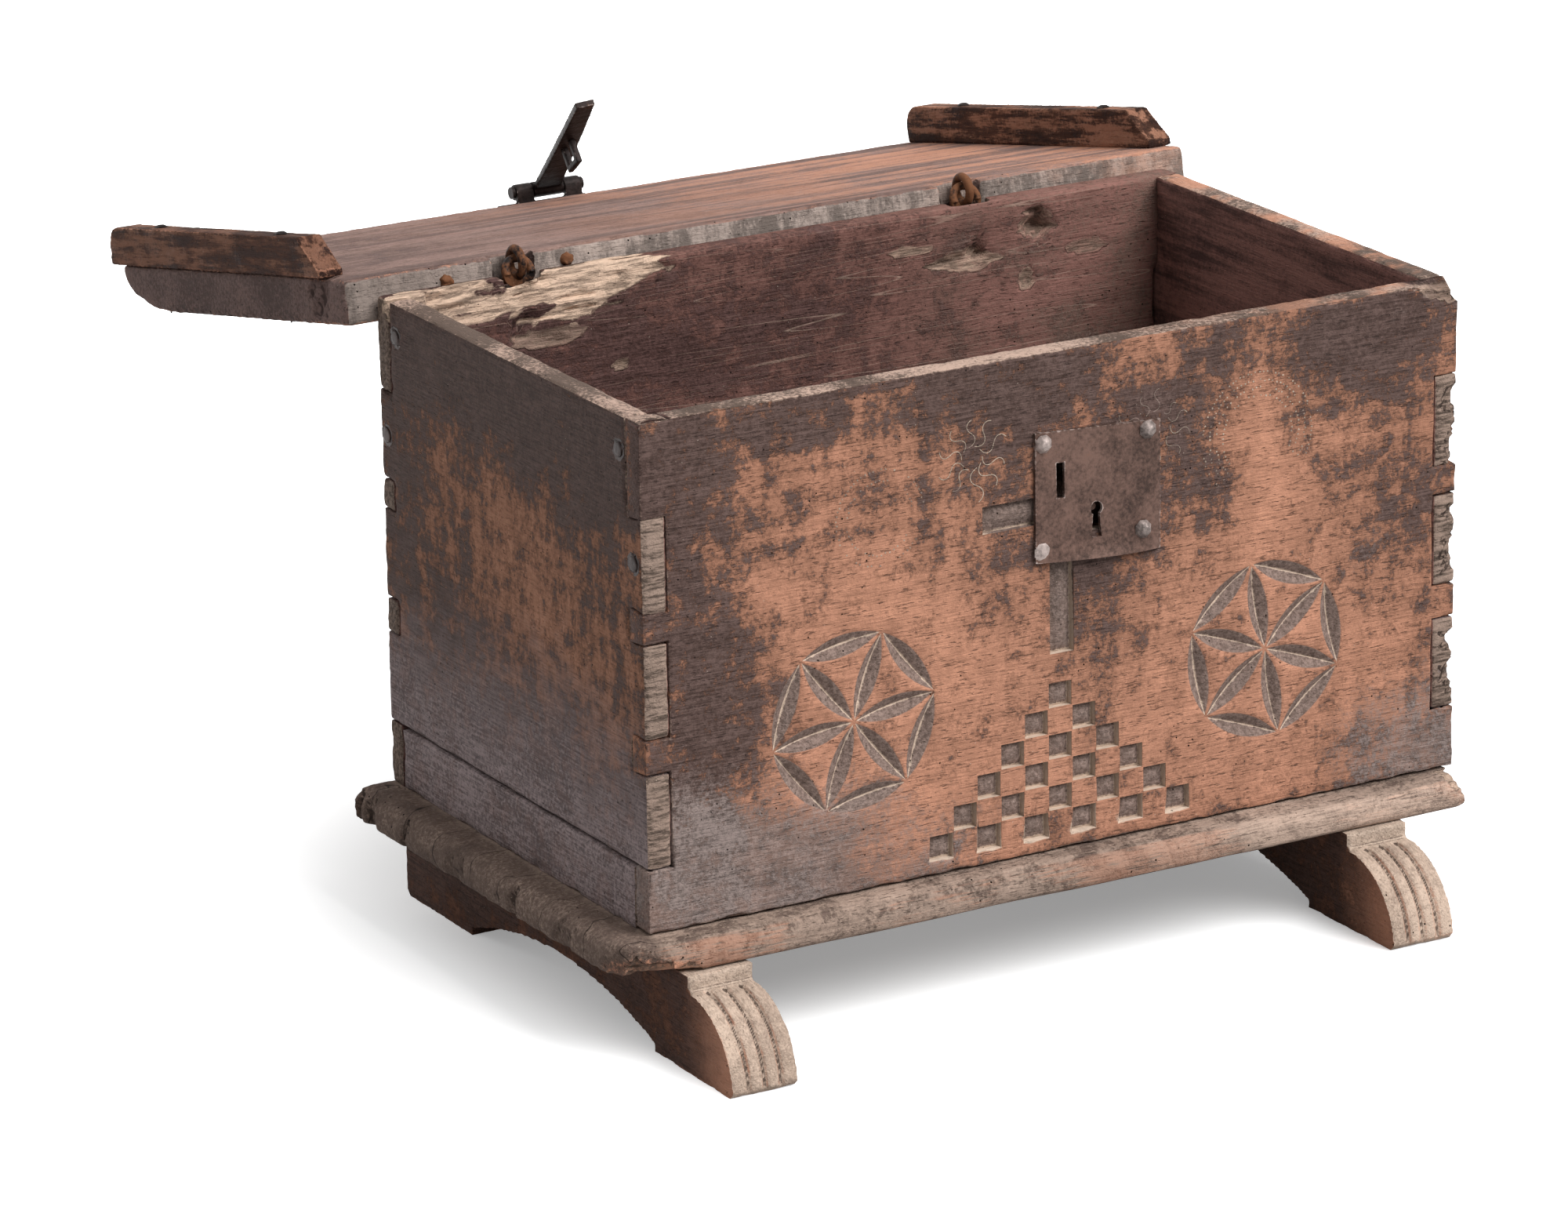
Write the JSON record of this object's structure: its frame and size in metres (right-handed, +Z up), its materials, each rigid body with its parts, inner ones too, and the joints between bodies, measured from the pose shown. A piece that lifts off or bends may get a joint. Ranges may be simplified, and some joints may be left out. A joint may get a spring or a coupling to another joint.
{
  "type": "donation box",
  "caption": "Small dovetailed wooden chest on runner feet, with a carved front, an iron lock plate, and a lid with a hasp that folds open on linked eyes.",
  "frame": {"origin": "on the floor under the middle of the whole part as it lies open", "axes": "+X along the front to the viewer's right, +Y from the front to the back, +Z up"},
  "size_m": [0.518, 0.6336, 0.3643],
  "materials": {
    "front_wood": "worn, waxed",
    "case_wood": "dry, darkened",
    "base_wood": "weathered",
    "foot_wood": "worn",
    "lid_wood": "dry, darkened",
    "lock_iron": "forged, rusted",
    "nail_iron": "forged, rusted",
    "eye_iron": "rusted",
    "hasp_iron": "forged, rusted"
  },
  "bodies": {
    "case": {"front_board": "front_wood", "back_board": "case_wood", "left_end_board": "case_wood", "right_end_board": "case_wood", "left_lower_strip": "case_wood", "right_lower_strip": "case_wood", "base_board": "base_wood", "left_runner_foot": "foot_wood", "right_runner_foot": "foot_wood", "foot_pegs": "foot_wood", "base_nails": "nail_iron", "corner_nails": "nail_iron", "lock_plate": "lock_iron", "lock_plate_nails": "lock_iron", "lock_back_plate": "lock_iron", "lock_back_plate_nails": "lock_iron", "bolt_keepers": "lock_iron", "bolt_spring": "lock_iron", "key_post": "lock_iron", "left_wall_eye": "eye_iron", "right_wall_eye": "eye_iron"},
    "lid": {"lid_board": "lid_wood", "left_cleat": "lid_wood", "right_cleat": "lid_wood", "cleat_nails": "nail_iron", "left_lid_eye": "eye_iron", "right_lid_eye": "eye_iron", "hasp_plate": "hasp_iron", "hasp_plate_nails": "nail_iron"},
    "hasp_pin": {"hasp_pin": "hasp_iron"},
    "hasp": {"hasp_strap": "hasp_iron", "hasp_staple": "hasp_iron"},
    "bolt": {"lock_bolt": "lock_iron"}
  },
  "joints": [
    {"name": "lid_hinge", "type": "hinge", "parent": "case", "child": "lid", "pos_m": [0, 0.02561, 0.33787], "axis": [1, 0, 0], "range_deg": [0, 191.2]},
    {"name": "hasp_pin_turn", "type": "hinge", "parent": "lid", "child": "hasp_pin", "pos_m": [0.0097, 0.30906, 0.29232], "axis": [1, 0, 0], "range_deg": [-78, 0]},
    {"name": "hasp_swing", "type": "hinge", "parent": "hasp_pin", "child": "hasp", "pos_m": [0.0097, 0.30906, 0.29232], "axis": [1, 0, 0], "range_deg": [-120, 15]},
    {"name": "lock_bolt_slide", "type": "slide", "parent": "case", "child": "bolt", "axis": [-1, 0, 0], "range_m": [0, 0.011]}
  ],
  "couplings": [
    {"joint": "hasp_pin_turn", "follows": "lid_hinge", "ratio": -0.4079}
  ]
}
